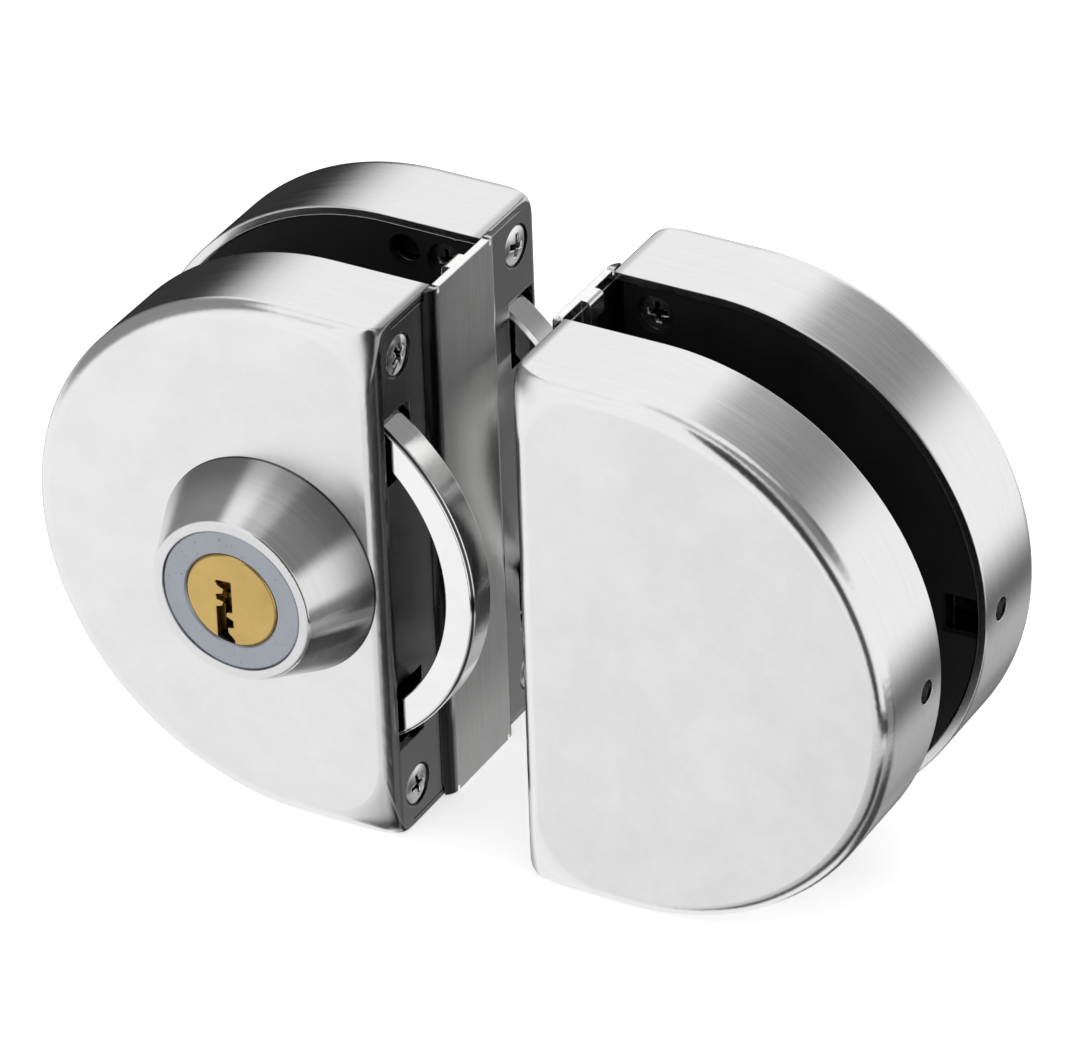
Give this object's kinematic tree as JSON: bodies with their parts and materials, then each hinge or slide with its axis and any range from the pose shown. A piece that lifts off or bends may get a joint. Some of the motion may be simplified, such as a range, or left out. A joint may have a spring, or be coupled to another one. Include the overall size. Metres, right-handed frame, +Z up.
{
  "type": "double door lock",
  "caption": "Clamp-on lock for a pair of frameless glass doors: a lock half with key cylinders and hook bolts, and a strike half that takes them.",
  "frame": {"origin": "middle of the lock half's flat side: where the glass edge meets the frame, in the middle of the glass's thickness, at the height of the key", "axes": "+X from the lock half to the strike half, across the joint of the doors; +Y from the outside face to the inside face, square to the glass; +Z up"},
  "size_m": [0.1232, 0.0616, 0.076],
  "materials": {
    "satin_stainless": "fine satin, brushed along the wall",
    "frame_stainless": "bead-dulled satin",
    "hook_steel": "ground and lightly polished",
    "boss_stainless": "turned, semi-bright",
    "satin_chrome": "satin plated",
    "plug_brass": "turned brass",
    "wafer_brass": "punched brass",
    "zinc_steel": "zinc plated",
    "screw_steel": "bright",
    "spring_steel": "bright wire",
    "black_oxide": "black oxide",
    "black_rubber": "smooth black"
  },
  "bodies": {
    "lock_body": {"lock_frame": "frame_stainless", "front_glass_pad": "black_rubber", "front_cover": "satin_stainless", "front_corner_blocks": "zinc_steel", "front_boss": "boss_stainless", "front_boss_nut": "zinc_steel", "front_key_cylinder": "satin_chrome", "front_pivot_bush": "wafer_brass", "front_stop_pins": "zinc_steel", "front_detent_block": "zinc_steel", "front_detent_ball": "spring_steel", "front_detent_spring": "spring_steel", "back_glass_pad": "black_rubber", "back_cover": "satin_stainless", "back_corner_blocks": "zinc_steel", "back_boss": "boss_stainless", "back_boss_nut": "zinc_steel", "back_key_cylinder": "satin_chrome", "back_pivot_bush": "wafer_brass", "back_stop_pins": "zinc_steel", "back_detent_block": "zinc_steel", "back_detent_ball": "spring_steel", "back_detent_spring": "spring_steel", "lock_cover_screws": "screw_steel", "lock_block_screws": "screw_steel", "lock_rim_screws": "black_oxide", "lock_clamp_screws": "black_oxide"},
    "front_lockwork": {"front_plug": "plug_brass", "front_plug_clip": "spring_steel", "front_wafers": "wafer_brass", "front_tailpiece": "zinc_steel", "front_hook_bolt": "hook_steel"},
    "back_lockwork": {"back_plug": "plug_brass", "back_plug_clip": "spring_steel", "back_wafers": "wafer_brass", "back_tailpiece": "zinc_steel", "back_hook_bolt": "hook_steel"},
    "strike_half": {"strike_frame": "frame_stainless", "strike_front_glass_pad": "black_rubber", "strike_front_cover": "satin_stainless", "strike_front_corner_blocks": "zinc_steel", "strike_front_keeper_plate": "zinc_steel", "strike_back_glass_pad": "black_rubber", "strike_back_cover": "satin_stainless", "strike_back_corner_blocks": "zinc_steel", "strike_back_keeper_plate": "zinc_steel", "strike_cover_screws": "screw_steel", "strike_block_screws": "screw_steel", "strike_rim_screws": "black_oxide", "strike_clamp_screws": "black_oxide"}
  },
  "joints": [
    {"name": "front_bolt_turn", "type": "hinge", "parent": "lock_body", "child": "front_lockwork", "pos_m": [-0.017, 0, 0], "axis": [0, -1, 0], "range_deg": [0, 125]},
    {"name": "back_bolt_turn", "type": "hinge", "parent": "lock_body", "child": "back_lockwork", "pos_m": [-0.017, 0, 0], "axis": [0, -1, 0], "range_deg": [0, 125]},
    {"name": "strike_close", "type": "slide", "parent": "lock_body", "child": "strike_half", "axis": [1, 0, 0], "range_m": [-0.0135, 0]}
  ]
}
